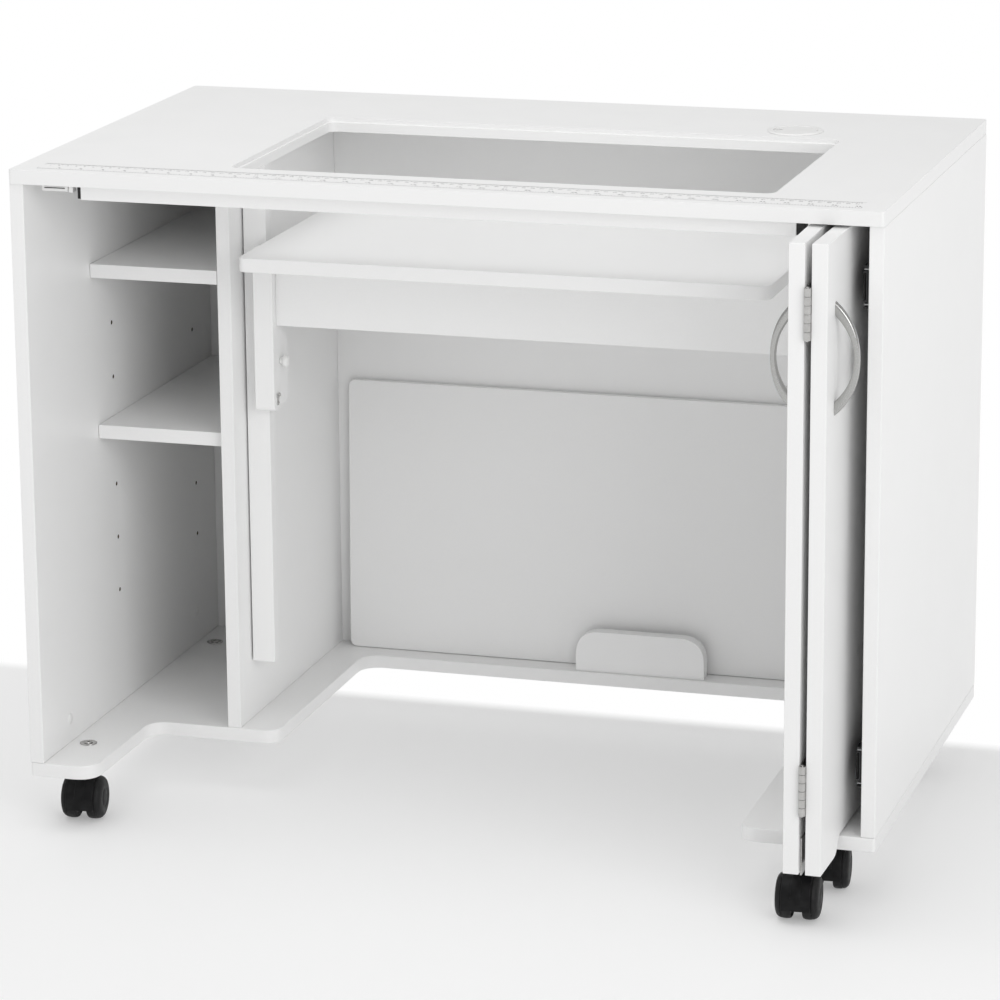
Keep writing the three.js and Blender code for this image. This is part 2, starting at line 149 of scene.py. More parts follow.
def relief(mat, *layers):
    """Bump from one or more (pattern, strength, depth in metres) layers."""
    before = None
    for factor, strength, depth in layers:
        bump = mat.node_tree.nodes.new("ShaderNodeBump")
        bump.inputs["Strength"].default_value = strength
        bump.inputs["Distance"].default_value = depth
        mat.node_tree.links.new(factor, bump.inputs["Height"])
        if before:
            mat.node_tree.links.new(before, bump.inputs["Normal"])
        before = bump.outputs["Normal"]
    mat.node_tree.links.new(before, shader_of(mat).inputs["Normal"])


def melamine_face():
    mat = finish("melamine_face", (0.91, 0.91, 0.907), 0.4)
    broad = ramp(mat, noise(mat, 2.2, 3), (0.902, 0.902, 0.898), (0.916, 0.916, 0.914))
    fine = ramp(mat, noise(mat, 700, 3), (0.894, 0.894, 0.890), (0.924, 0.924, 0.922))
    color_from(mat, blend_colors(mat, noise(mat, 35), broad, fine))
    roughness_from(mat, noise(mat, 28, 4), 0.36, 0.44)
    relief(mat, (noise(mat, 1500, 2), 0.10, 0.00008), (noise(mat, 60, 1), 0.04, 0.0004))
    return mat


def edge_band():
    mat = finish("edge_band", (0.88, 0.88, 0.878), 0.36)
    color_from(mat, ramp(mat, noise(mat, 900, 3), (0.872, 0.872, 0.868), (0.888, 0.888, 0.887)))
    roughness_from(mat, noise(mat, 300, 2), 0.31, 0.40)
    relief(mat, (noise(mat, 1100, 2), 0.08, 0.00008))
    return mat


def board_core():
    mat = finish("board_core", (0.22, 0.15, 0.09), 0.9)
    flakes = ramp(mat, cells(mat, 600), (0.03, 0.02, 0.013), (0.12, 0.085, 0.055), 0.1, 0.8)
    color_from(mat, flakes)
    relief(mat, (cells(mat, 900), 0.5, 0.0004))
    return mat


def satin_nickel():
    mat = finish("satin_nickel", (0.44, 0.44, 0.43), 0.26, 1.0)
    strokes = noise(mat, 2600, 2, (1, 1, 0.08))
    color_from(mat, ramp(mat, strokes, (0.425, 0.425, 0.415), (0.455, 0.455, 0.445)))
    roughness_from(mat, strokes, 0.22, 0.28)
    relief(mat, (strokes, 0.03, 0.00002))
    return mat


def bright_nickel():
    mat = finish("bright_nickel", (0.5, 0.495, 0.485), 0.16, 1.0)
    smudge = noise(mat, 160, 4)
    color_from(mat, ramp(mat, smudge, (0.46, 0.455, 0.445), (0.54, 0.535, 0.525)))
    roughness_from(mat, smudge, 0.12, 0.24)
    relief(mat, (noise(mat, 1400, 2), 0.05, 0.00005))
    return mat


def zinc_steel():
    mat = finish("zinc_steel", (0.42, 0.43, 0.44), 0.4, 1.0)
    spangle = cells(mat, 220)
    color_from(mat, ramp(mat, spangle, (0.34, 0.345, 0.35), (0.50, 0.505, 0.51), 0.1, 0.9))
    roughness_from(mat, spangle, 0.32, 0.5, 0.1, 0.9)
    relief(mat, (noise(mat, 1200, 2), 0.06, 0.00006))
    return mat


def dark_steel():
    mat = finish("dark_steel", (0.07, 0.07, 0.072), 0.45, 1.0)
    film = noise(mat, 300, 3)
    color_from(mat, ramp(mat, film, (0.055, 0.055, 0.057), (0.09, 0.09, 0.092)))
    roughness_from(mat, film, 0.38, 0.52)
    relief(mat, (noise(mat, 1500, 2), 0.06, 0.00006))
    return mat


def black_nylon():
    mat = finish("black_nylon", (0.012, 0.012, 0.013), 0.42)
    shader_of(mat).inputs["Specular IOR Level"].default_value = 0.16
    color_from(mat, ramp(mat, noise(mat, 130, 3), (0.005, 0.005, 0.0055), (0.011, 0.011, 0.0115)))
    roughness_from(mat, noise(mat, 90, 3), 0.36, 0.5)
    relief(mat, (noise(mat, 2600, 2), 0.18, 0.00008))
    return mat


def wheel_black():
    mat = finish("wheel_black", (0.016, 0.016, 0.017), 0.5)
    shader_of(mat).inputs["Specular IOR Level"].default_value = 0.2
    clean = ramp(mat, noise(mat, 120, 3), (0.009, 0.009, 0.0095), (0.017, 0.017, 0.0175))
    dusty = ramp(mat, noise(mat, 800, 3), (0.014, 0.014, 0.014), (0.034, 0.033, 0.031))
    scuffs = measured(mat, noise(mat, 70, 5), 0.0, 0.6, 0.52, 0.75)
    color_from(mat, blend_colors(mat, scuffs, clean, dusty))
    roughness_from(mat, noise(mat, 150, 3), 0.42, 0.62)
    relief(mat, (noise(mat, 1800, 3), 0.2, 0.0001))
    return mat


def white_plastic():
    mat = finish("white_plastic", (0.86, 0.86, 0.85), 0.3)
    color_from(mat, ramp(mat, noise(mat, 50, 3), (0.85, 0.85, 0.84), (0.885, 0.885, 0.88)))
    roughness_from(mat, noise(mat, 120, 2), 0.28, 0.34)
    relief(mat, (noise(mat, 900, 1), 0.03, 0.00003))
    return mat


def printed_ink():
    mat = finish("printed_ink", (0.2, 0.2, 0.2), 0.5)
    color_from(mat, ramp(mat, noise(mat, 900, 3), (0.17, 0.17, 0.175), (0.24, 0.24, 0.24)))
    roughness_from(mat, noise(mat, 500, 2), 0.42, 0.58)
    return mat


def dark_rubber():
    mat = finish("dark_rubber", (0.01, 0.01, 0.01), 0.7)
    color_from(mat, ramp(mat, noise(mat, 300, 3), (0.007, 0.007, 0.007), (0.018, 0.018, 0.018)))
    roughness_from(mat, noise(mat, 400, 2), 0.62, 0.8)
    relief(mat, (noise(mat, 1600, 2), 0.25, 0.0001))
    return mat


FACE, EDGE, CORE = melamine_face(), edge_band(), board_core()
SATIN, NICKEL = satin_nickel(), bright_nickel()
ZINC, DARK_STEEL = zinc_steel(), dark_steel()
NYLON, WHEEL, WHITE = black_nylon(), wheel_black(), white_plastic()
INK, RUBBER = printed_ink(), dark_rubber()


# ---- making pieces -------------------------------------------------------------------------------
CREASE = math.radians(35)       # sharper edges than this keep a hard shade
ARRIS = math.radians(40)        # sharper edges than this are rounded over
FLAT = math.radians(0.5)        # faces closer than this become one
WELD = 2e-6
SOFT_ARRIS = 0.0006             # metres, on boards and small moulded blocks


def piece(name, bm, body, materials, replaces=()):
    """Makes a finished piece that rides on a body, with its place in its mesh."""
    mesh = bpy.data.meshes.new(name)
    bm.to_mesh(mesh)
    bm.free()
    for mat in materials:
        mesh.materials.append(mat)
    mesh.shade_smooth()
    mesh.set_sharp_from_angle(angle=CREASE)
    obj = bpy.data.objects.new(name, mesh)
    bpy.context.scene.collection.objects.link(obj)
    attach(obj, body)
    if replaces:
        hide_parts(*replaces)
    return obj


def level_shading(obj):
    """Keeps broad faces flat beside their rounded edges."""
    weighted = obj.modifiers.new("level", "WEIGHTED_NORMAL")
    weighted.keep_sharp = True
    return obj


def round_edges(bm, edges, radius, segments=2):
    """Bevels edges to a radius in the bmesh's own units."""
    bmesh.ops.bevel(bm, geom=edges, offset=radius, offset_type="OFFSET", affect="EDGES",
                    segments=segments, profile=0.5, material=-1, clamp_overlap=True)


def sharp_edges(bm):
    return [e for e in bm.edges if len(e.link_faces) == 2 and e.calc_face_angle() > ARRIS]


def merged(node):
    """The drawn solid's faces, joined up, with flat regions made whole."""
    bm = bmesh.new()
    bm.from_mesh(frame["nodes"][node].data)
    bmesh.ops.remove_doubles(bm, verts=bm.verts, dist=WELD)
    bmesh.ops.dissolve_limit(bm, angle_limit=FLAT, verts=bm.verts, edges=bm.edges)
    for face in bm.faces:
        face.material_index = 0
    return bm


def add_box(bm, low, high, radius=0.0, segments=2):
    """A block between two corners, in the bmesh's own units."""
    before = set(bm.verts)
    size = Vector(high) - Vector(low)
    middle = (Vector(high) + Vector(low)) / 2
    bmesh.ops.create_cube(bm, size=1, matrix=Matrix.Translation(middle) @ Matrix.Diagonal((*size, 1)))
    if radius:
        edges = {e for v in bm.verts if v not in before for e in v.link_edges}
        round_edges(bm, list(edges), radius, segments)


def add_turned(bm, profile, steps=32):
    """A shape turned about z from (radius, height) points; both ends lie on the axis or meet."""
    before = set(bm.verts)
    points = [bm.verts.new((radius, 0, height)) for radius, height in profile]
    edges = [bm.edges.new(pair) for pair in zip(points, points[1:])]
    bmesh.ops.spin(bm, geom=points + edges, cent=(0, 0, 0), axis=(0, 0, 1), angle=math.tau,
                   steps=steps, use_merge=True, use_duplicate=False)
    fresh = [v for v in bm.verts if v not in before]
    bmesh.ops.remove_doubles(bm, verts=fresh, dist=1e-5)
    fresh = [v for v in bm.verts if v not in before]
    faces = list({f for v in fresh for f in v.link_faces})
    bmesh.ops.recalc_face_normals(bm, faces=faces)
    return fresh


def add_plate(bm, outline, low, high, radius=0.0, segments=2):
    """An outline in x and y, raised from low to high, with its rims rounded."""
    before = set(bm.verts)
    face = bm.faces.new([bm.verts.new((x, y, low)) for x, y in outline])
    raised = bmesh.ops.extrude_face_region(bm, geom=[face])["geom"]
    top = [g for g in raised if isinstance(g, bmesh.types.BMVert)]
    bmesh.ops.translate(bm, verts=top, vec=(0, 0, high - low))
    fresh = [v for v in bm.verts if v not in before]
    faces = list({f for v in fresh for f in v.link_faces})
    bmesh.ops.recalc_face_normals(bm, faces=faces)
    if radius:
        rims = [e for e in {e for v in fresh for e in v.link_edges}
                if abs(e.verts[0].co.z - e.verts[1].co.z) < 1e-7]
        round_edges(bm, rims, radius, segments)
    return [v for v in bm.verts if v not in before]


def arc(radius, start, stop, steps, cx=0.0, cy=0.0):
    """Points on an arc, from start to stop in degrees."""
    angles = [math.radians(start + (stop - start) * i / steps) for i in range(steps + 1)]
    return [(cx + radius * math.cos(a), cy + radius * math.sin(a)) for a in angles]


def carve(bm, tool):
    """Cuts one bmesh with another and gives the result as a new bmesh."""
    def temporary(source):
        mesh = bpy.data.meshes.new("temporary")
        source.to_mesh(mesh)
        source.free()
        obj = bpy.data.objects.new("temporary", mesh)
        bpy.context.scene.collection.objects.link(obj)
        return obj

    body, knife = temporary(bm), temporary(tool)
    cutter = body.modifiers.new("cut", "BOOLEAN")
    cutter.operation, cutter.solver, cutter.object = "DIFFERENCE", "EXACT", knife
    result = bmesh.new()
    result.from_object(body, bpy.context.evaluated_depsgraph_get())
    for obj in (body, knife):
        bpy.data.meshes.remove(obj.data)
    return result


# ---- boards --------------------------------------------------------------------------------------
BOARDS = ("worktop", "left_side_panel", "right_side_panel", "left_divider", "right_divider",
          "back_panel", "knee_back_board", "bottom_panel", "front_rail", "upper_shelf", "lower_shelf",
          "insert_board", "insert_stop", "lift_post_left", "lift_post_right", "lift_carriage_left",
          "lift_carriage_right", "lift_platform", "lift_cross_plate", "right_leaf", "left_leaf")
SOFT_EDGES = {"lift_platform": 0.0012, "worktop": 0.0013, "right_leaf": 0.001, "left_leaf": 0.001,
              "left_side_panel": 0.001, "right_side_panel": 0.0012, "bottom_panel": 0.0013}
HOLE_FACE = 3e-5      # a bored hole's faces are all smaller than this, in square metres


def make_board(node):
    """A melamine board: faces, edge band round it, rounded arrises, and bare core in its bores."""
    low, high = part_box(node)
    size = high - low
    thin = min(range(3), key=lambda axis: size[axis])
    bm = merged(node)
    bored = node in ("left_side_panel", "left_divider")
    for face in bm.faces:
        if abs(face.normal[thin]) < 0.9:
            face.material_index = 1
        if bored and face.calc_area() < HOLE_FACE:
            face.material_index = 2
    edges = [e for e in sharp_edges(bm) if all(f.material_index != 2 for f in e.link_faces)]
    round_edges(bm, edges, SOFT_EDGES.get(node, SOFT_ARRIS))
    board = piece(node + "_board", bm, BODY_OF[node], (FACE, EDGE, CORE), (node,))
    return level_shading(board)


for board_node in BOARDS:
    make_board(board_node)


# ---- metal and plastic pieces that follow their drawn solids -------------------------------------
SHEET_ARRIS, PLATE_ARRIS = 0.0003, 0.0004      # metres, on thin sheet and on thicker steel


def dress(node, mat, radius, name):
    """The drawn solid with its edges rounded, in one finish."""
    bm = merged(node)
    round_edges(bm, sharp_edges(bm), radius)
    return level_shading(piece(name, bm, BODY_OF[node], (mat,), (node,)))


for side in ("left", "right"):
    dress("rail_buffer_" + side, RUBBER, SOFT_ARRIS, side + "_rail_bumper")
    for level in ("lower", "upper"):
        dress(f"fold_hinge_{level}_{side}", NICKEL, SHEET_ARRIS, f"{level}_hinge_{side}_wing")
for level in ("lower", "upper"):
    for member, mat in (("outer", DARK_STEEL), ("middle", ZINC), ("inner", DARK_STEEL)):
        rail = f"{level}_slide_{member}_rail"
        dress(f"slide_{member}_{level}", mat, SHEET_ARRIS, rail)
dress("pocket_carrier", DARK_STEEL, PLATE_ARRIS, "door_carrier_strip")
dress("door_caster_bracket", NICKEL, PLATE_ARRIS, "door_caster_plate")


FOLD_LINE = (910, -88.5)       # the pin that joins the two leaves
LEAF_FACE = 20.5               # each leaf's outer face from the pin
GRIP = {"y": 39, "z": 550, "half": 60, "rise": 26, "foot": 15, "inner_rise": 20, "thick": 8}


def bend(start, control, stop, t):
    """The point a share t of the way along a curve that leans towards its control point."""
    return [(1 - t) ** 2 * a + 2 * t * (1 - t) * b + t * t * c
            for a, b, c in zip(start, control, stop)]


def rounded_section(count, softness=0.62):
    """Points round a soft-cornered rectangle that reaches 1 each way."""
    angles = [math.tau * i / count for i in range(count)]
    return [(math.copysign(abs(math.cos(a)) ** softness, math.cos(a)),
             math.copysign(abs(math.sin(a)) ** softness, math.sin(a))) for a in angles]


def make_grip(side, outward, splay):
    """A cast crescent, broad at its feet and slim in the middle, standing on the leaf's outer face."""
    half, rise, inner_rise = GRIP["half"], GRIP["rise"], GRIP["inner_rise"]
    steps, section = 28, rounded_section(28)
    bm = bmesh.new()
    loops = []
    for i in range(-steps, steps + 1):
        t, way = 1 - abs(i) / steps, math.copysign(1, i)
        outer = bend((0, half), (rise * 1.02, half * 0.62), (rise, 0), t)
        foot = half - GRIP["foot"]
        inner = bend((0, foot), (inner_rise, half * 0.42), (inner_rise, 0), t)
        middle_x, middle_z = (outer[0] + inner[0]) / 2, (outer[1] + inner[1]) / 2
        reach_x, reach_z = (outer[0] - inner[0]) / 2, (outer[1] - inner[1]) / 2
        ring = [bm.verts.new((outward * (middle_x + reach_x * u), GRIP["thick"] / 2 * v,
                              way * (middle_z + reach_z * u))) for u, v in section]
        loops.append([bm.edges.new(pair) for pair in zip(ring, ring[1:] + ring[:1])])
        if abs(i) == steps:
            bm.faces.new(ring)
    for first, second in zip(loops, loops[1:]):
        bmesh.ops.bridge_loops(bm, edges=first + second)
    bmesh.ops.recalc_face_normals(bm, faces=bm.faces)
    turn = Matrix.Rotation(math.radians(splay), 4, "Z")
    foot_place = Matrix.Translation((outward * LEAF_FACE, GRIP["y"], 0))
    matrix = cabinet_frame(*FOLD_LINE, GRIP["z"], turn) @ foot_place
    bmesh.ops.transform(bm, matrix=matrix, verts=bm.verts)
    piece(side + "_grip", bm, side + "_door_leaf", (SATIN,), (side + "_handle",))


make_grip("right", 1, -1.0)
make_grip("left", -1, 0.5)


STOP_PROUD, STOP_DEPTH = 0.0011, 0.004                 # metres, past and behind the rail's end
INNER_STOP_HALF, OUTER_STOP_HALF = 0.0138, 0.0175      # half of each stop's height


def make_slide_stops(level):
    """Black moulded stops in the front ends of the slide's rails."""
    low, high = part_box(f"slide_inner_{level}")
    rider = BODY_OF[f"slide_inner_{level}"]
    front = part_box(f"slide_outer_{level}")[0].y
    middle = (low.z + high.z) / 2
    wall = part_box("right_side_panel")[0].x
    stops = (("inner", rider, low.x + 0.0004, high.x - 0.0018, low.y, INNER_STOP_HALF),
             ("outer", "cabinet", wall - 0.0062, wall - 0.0018, front, OUTER_STOP_HALF))
    for name, body, x0, x1, y, half in stops:
        bm = bmesh.new()
        bottom, top = (x0, y - STOP_PROUD, middle - half), (x1, y + STOP_DEPTH, middle + half)
        add_box(bm, bottom, top, SOFT_ARRIS)
        piece(f"{level}_slide_{name}_stop", bm, body, (RUBBER,))


for level in ("lower", "upper"):
    make_slide_stops(level)
for number in range(1, 5):
    dress(f"shelf_pin_{number}", NICKEL, PLATE_ARRIS, f"shelf_support_{number}")


# ---- screws --------------------------------------------------------------------------------------
def add_screw(bm, matrix, radius, height):
    """Adds a pan head with a cross recess, its flat side at z 0."""
    head, knife = bmesh.new(), bmesh.new()
    dome = [(0, 0), (radius, 0), (radius, height * 0.35), (radius * 0.82, height * 0.85), (0, height)]
    add_turned(head, dome, 28)
    arm, half = radius * 0.58, radius * 0.14
    cross = [(arm, -half), (arm, half), (half, half), (half, arm), (-half, arm), (-half, half),
             (-arm, half), (-arm, -half), (-half, -half), (-half, -arm), (half, -arm), (half, -half)]
    add_plate(knife, cross, height * 0.3, height * 2)
    screw = carve(head, knife)
    bmesh.ops.transform(screw, matrix=matrix, verts=screw.verts)
    mesh = bpy.data.meshes.new("screw")
    screw.to_mesh(mesh)
    screw.free()
    bm.from_mesh(mesh)
    bpy.data.meshes.remove(mesh)


# ---- printed rule on the worktop -----------------------------------------------------------------
RULE_START = 27.8
RULE_FRONT = 15.0
RULE_BACK = 45.0
INK_DEPTH = 0.06
INK_ROOT = 0.02         # how far the ink reaches into the face
LINE_HALF = 0.15
INCH_MARK, CENTIMETRE_MARK = 0.42, 0.36
TOP = (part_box("worktop")[1].z - ORIGIN.z) / MM


def add_mark(bm, x, y0, y1, width):
    add_box(bm, (x - width / 2, y0, TOP - INK_ROOT), (x + width / 2, y1, TOP + INK_DEPTH))


def make_rule():
    bm = bmesh.new()
    inches, centimetres = 36, 91
    end = RULE_START + inches * INCH
    for y in (RULE_FRONT, RULE_BACK):
        low, high = (RULE_START, y - LINE_HALF, TOP - INK_ROOT), (end, y + LINE_HALF, TOP + INK_DEPTH)
        add_box(bm, low, high)
    for i in range(inches * 8 + 1):
        length = 7.0 if i % 8 == 0 else 4.5 if i % 4 == 0 else 3.0
        add_mark(bm, RULE_START + i * INCH / 8, RULE_FRONT, RULE_FRONT + length, INCH_MARK)
    for i in range(centimetres * 10 + 1):
        length = 6.0 if i % 10 == 0 else 4.2 if i % 5 == 0 else 2.6
        add_mark(bm, RULE_START + i, RULE_BACK - length, RULE_BACK, CENTIMETRE_MARK)
    bmesh.ops.transform(bm, matrix=cabinet_frame(0, 0, 0), verts=bm.verts)
    piece("printed_rule", bm, "cabinet", (INK,))


def make_numbers(name, numbers, pitch, y, height):
    """Plain digits beside the rule's long marks."""
    bm = bmesh.new()
    for number in numbers:
        curve = bpy.data.curves.new("digits", "FONT")
        curve.body = str(number)
        curve.size = height * 1.35
        curve.align_x = "RIGHT"
        curve.extrude = INK_DEPTH / 2
        curve.resolution_u = 2
        text = bpy.data.objects.new("digits", curve)
        bpy.context.scene.collection.objects.link(text)
        bpy.context.view_layer.update()
        mesh = bpy.data.meshes.new_from_object(text)
        mesh.transform(Matrix.Translation((RULE_START + number * pitch - 1.2, y, TOP + INK_DEPTH / 2)))
        bm.from_mesh(mesh)
        bpy.data.objects.remove(text)
        bpy.data.curves.remove(curve)
        bpy.data.meshes.remove(mesh)
    bmesh.ops.transform(bm, matrix=cabinet_frame(0, 0, 0), verts=bm.verts)
    piece(name, bm, "cabinet", (INK,))


make_rule()
make_numbers("inch_numbers", range(1, 37), INCH, RULE_FRONT + 6.5, 5.0)
make_numbers("centimetre_numbers", range(1, 92), 10.0, RULE_BACK - 10.5, 3.6)


# ---- cable grommet -------------------------------------------------------------------------------
def make_grommet():
    low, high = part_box("grommet_ring")
    x, y = [((low[i] + high[i]) / 2 - ORIGIN[i]) / MM for i in (0, 1)]
    ring = bmesh.new()
    profile = [(25, TOP - 18), (26.5, TOP - 18), (26.5, TOP - 0.02), (31.4, TOP), (32, TOP + 0.5),
               (31.3, TOP + 1.4), (29.5, TOP + 2), (26.4, TOP + 2), (25.4, TOP + 1.7), (25, TOP + 1.1),
               (25, TOP - 18)]
    add_turned(ring, profile, 72)
    bmesh.ops.transform(ring, matrix=cabinet_frame(x, y, 0), verts=ring.verts)
    piece("grommet_flange", ring, "cabinet", (WHITE,), ("grommet_ring",))
    cap = bmesh.new()
    # the rim, broken on the left by a round-ended notch for the lead
    outline = arc(24.5, 192, 528, 64)
    outline += [(-19, 5)] + arc(5, 90, -90, 10, -19, 0)[1:-1] + [(-19, -5)]
    add_plate(cap, outline, TOP - 1, TOP + 1.5, 0.45, 3)
    bmesh.ops.transform(cap, matrix=cabinet_frame(x, y, 0), verts=cap.verts)
    disc = piece("grommet_lid_disc", cap, "grommet_lid", (WHITE,), ("grommet_cap",))
    level_shading(disc)


make_grommet()


# ---- casters -------------------------------------------------------------------------------------
WHEEL_R = 25.0
# the fender's half width, its two radii, and its sweep in degrees
HOOD = {"half": 16.0, "inner": 25.8, "outer": 27.4, "start": -160, "stop": 62}


def caster_frame(name):
    """Millimetres about the wheels' centre: x along the axle, y towards the swivel, z up."""
    roll = JOINTS[name + "_wheel_roll"]
    along = Vector(roll["axis"]).normalized()
    back = Vector((0, 0, 1)).cross(along)
    turn = Matrix((along, back, Vector((0, 0, 1)))).transposed().to_4x4()
    return Matrix.Translation(Vector(roll["pos_m"])) @ turn @ Matrix.Scale(MM, 4)


def along_x(bm, verts, low):
    """Lays an outline drawn in x and y, raised along z, so that it runs along x from low."""
    turn = Matrix(((0, 0, 1, low), (1, 0, 0, 0), (0, 1, 0, 0), (0, 0, 0, 1)))
    bmesh.ops.transform(bm, matrix=turn, verts=verts)


def add_hood(bm, trail, top):
    """The moulded fork: a fender over both wheels, the neck between them and the swivel collar."""
    half, inner, outer, start, stop = (HOOD[k] for k in ("half", "inner", "outer", "start", "stop"))
    shell = arc(outer, 360 + start, stop, 40) + arc(inner, stop, 360 + start, 40)
    along_x(bm, add_plate(bm, shell, 0, 2 * half, 0.8, 3), -half)
    web = arc(inner + 0.6, 360 + start, stop, 30) + [(trail, inner - 3), (trail, 6), (7, -8)]
    along_x(bm, add_plate(bm, web, 0, 8, 0.8, 2), -4)
    collar = [(0, outer - 9), (5.4, outer - 9), (5.4, outer - 1.2), (10.4, outer - 1),
              (11, outer - 0.4), (11, top - 2), (10.2, top - 1.1), (4, top - 1), (4, top), (0, top)]
    bmesh.ops.translate(bm, verts=add_turned(bm, collar, 36), vec=(0, trail, 0))
    rib = arc(outer + 0.5, 170, 96, 16) + arc(outer - 0.8, 96, 170, 16)
    along_x(bm, add_plate(bm, rib, 0, 11, 0.4, 2), -5.5)


def add_wheel(bm, side):
    """One wheel of the pair, with a rounded tread, a dished outer face and a moulded hub."""
    inner_face = [(0, 6.4), (7.2, 6.4), (7.6, 6.8), (7.6, 8.2), (22.2, 8.2), (22.6, 6.9), (23.2, 6.3)]
    tread = [(24.0, 6.8), (24.6, 8.2), (24.9, 10.0), (WHEEL_R, 12.2), (24.9, 14.4), (24.7, 15.9)]
    groove = [(24.0, 16.3), (24.0, 16.9), (24.5, 17.2), (24.1, 18.8), (23.2, 20.6), (21.6, 22.2)]
    outer_face = [(19.2, 23.2), (16.0, 23.7), (12.5, 23.9), (10.8, 23.3), (10.2, 23.2), (9.6, 23.5),
                  (5, 24), (0, 24)]
    profile = inner_face + tread + groove + outer_face
    verts = add_turned(bm, profile, 56)
    turn = Matrix.Rotation(math.radians(90 * side), 4, "Y")
    bmesh.ops.transform(bm, matrix=turn, verts=verts)


def make_caster(name):
    matrix = caster_frame(name)
    swivel = Vector(JOINTS[name + "_caster_swivel"]["pos_m"])
    trail = (matrix.inverted() @ swivel).y
    top = (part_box(name + "_caster_body")[1].z - matrix.translation.z) / MM
    body = bmesh.new()
    add_hood(body, trail, top)
    bmesh.ops.transform(body, matrix=matrix, verts=body.verts)
    hood_node, wheel_node = name + "_caster_body", name + "_caster_wheels"
    piece(name + "_caster_hood", body, name + "_caster", (NYLON,), (hood_node,))
    wheels = bmesh.new()
    for side in (-1, 1):
        add_wheel(wheels, side)
    axle = add_turned(wheels, [(0, -8), (3.8, -8), (3.8, 8), (0, 8)], 24)
    bmesh.ops.transform(wheels, matrix=Matrix.Rotation(math.radians(90), 4, "Y"), verts=axle)
    bmesh.ops.transform(wheels, matrix=matrix, verts=wheels.verts)
    piece(name + "_caster_pair", wheels, name + "_wheels", (WHEEL,), (wheel_node,))


for caster_name in CASTERS:
    make_caster(caster_name)


def make_nuts():
    """Flanged inserts that hold the casters, each with a cross-recessed bolt head in it."""
    for number in range(1, 5):
        node = f"caster_nut_{number}"
        low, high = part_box(node)
        middle = (low + high) / 2
        bm = bmesh.new()
        flange = [(0, 0), (9.4, 0), (10, 0.4), (9.7, 1.0), (8.6, 1.2), (6.2, 1.1), (5.6, 0.7), (0, 0.6)]
        add_turned(bm, flange, 40)
        add_screw(bm, Matrix.Translation((0, 0, 0.6)), 4.6, 1.6)
        matrix = Matrix.Translation((middle.x, middle.y, low.z)) @ Matrix.Scale(MM, 4)
        bmesh.ops.transform(bm, matrix=matrix, verts=bm.verts)
        piece(f"caster_insert_{number}", bm, "cabinet", (NICKEL,), (node,))


make_nuts()


# ---- lift details --------------------------------------------------------------------------------
def make_knob(side, inward):
    node = "latch_knob_" + side
    low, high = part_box(node)
    start = low.x if inward > 0 else high.x
    bm = bmesh.new()
    profile = [(0, 0), (4, 0), (4, 2.4), (4.4, 2.8), (6.0, 3.8), (6.7, 5.0), (6.9, 6.6), (6.6, 7.9),
               (5.7, 8.8), (4.1, 9.4), (2, 9.7), (0, 9.8)]
    add_turned(bm, profile, 40)
    turn = Matrix.Rotation(math.radians(90 * inward), 4, "Y")
    middle = (low + high) / 2
    matrix = Matrix.Translation((start, middle.y, middle.z)) @ turn @ Matrix.Scale(MM, 4)
    bmesh.ops.transform(bm, matrix=matrix, verts=bm.verts)
    piece(side + "_latch_button", bm, side + "_latch", (WHITE,), (node,))


SPRING_PLACE, SPRING_SCALE = (217, 395), 0.75      # from the front and above the bottom panel


def make_latch_spring(side, face, inward):
    """The bent steel catch under each knob, held by one screw."""
    bm = bmesh.new()
    strip = [(0, 0), (0.8, 0), (0.8, 9), (1.6, 12), (3.6, 14), (3.6, 17), (1.8, 19), (0.8, 18.4),
             (0.8, 17.6), (1.6, 17.6), (2.6, 16.6), (2.6, 14.6), (0.9, 12.8), (0, 9.6)]
    verts = add_plate(bm, strip, -3.5, 3.5, 0.15, 1)
    # the strip is drawn as (off the face, up) and its width runs along y
    turn = Matrix(((inward, 0, 0, 0), (0, 0, 1, 0), (0, 1, 0, 0), (0, 0, 0, 1)))
    bmesh.ops.transform(bm, matrix=turn, verts=verts)
    if inward > 0:
        bmesh.ops.reverse_faces(bm, faces=bm.faces)
    screw_place = Matrix.Translation((inward * 0.8, 0, 4))
    add_screw(bm, screw_place @ Matrix.Rotation(math.radians(90 * inward), 4, "Y"), 2.4, 1)
    smaller = Matrix.Scale(SPRING_SCALE, 4)
    bmesh.ops.transform(bm, matrix=cabinet_frame(face, *SPRING_PLACE) @ smaller, verts=bm.verts)
    piece(side + "_latch_spring", bm, "lift", (NICKEL,))


make_knob("left", 1)
make_knob("right", -1)
make_latch_spring("left", (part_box("lift_cross_plate")[0].x - ORIGIN.x) / MM, 1)
make_latch_spring("right", (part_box("lift_cross_plate")[1].x - ORIGIN.x) / MM, -1)


# ---- magnetic catch, cover caps, nails -----------------------------------------------------------
def make_magnet_catch():
    low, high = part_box("magnet_catch")
    bm = bmesh.new()
    size = (high - low) / MM
    add_box(bm, (0, 0, 2), (size.x - 6, size.y, size.z), 0.8, 2)
    add_box(bm, (size.x - 5, 1, 1), (size.x, size.y - 1, size.z), 0.6, 2)
    housing_faces = len(bm.faces)
    add_box(bm, (3, -0.6, 5.2), (size.x - 9, 3, 6.1), 0.1, 1)
    add_box(bm, (3, -0.6, 7.6), (size.x - 9, 3, 8.5), 0.1, 1)
    bm.faces.ensure_lookup_table()
    for face in bm.faces[housing_faces:]:
        face.material_index = 1
    matrix = Matrix.Translation(low) @ Matrix.Scale(MM, 4)
    bmesh.ops.transform(bm, matrix=matrix, verts=bm.verts)
    piece("magnet_catch_housing", bm, "cabinet", (WHITE, RUBBER), ("magnet_catch",))


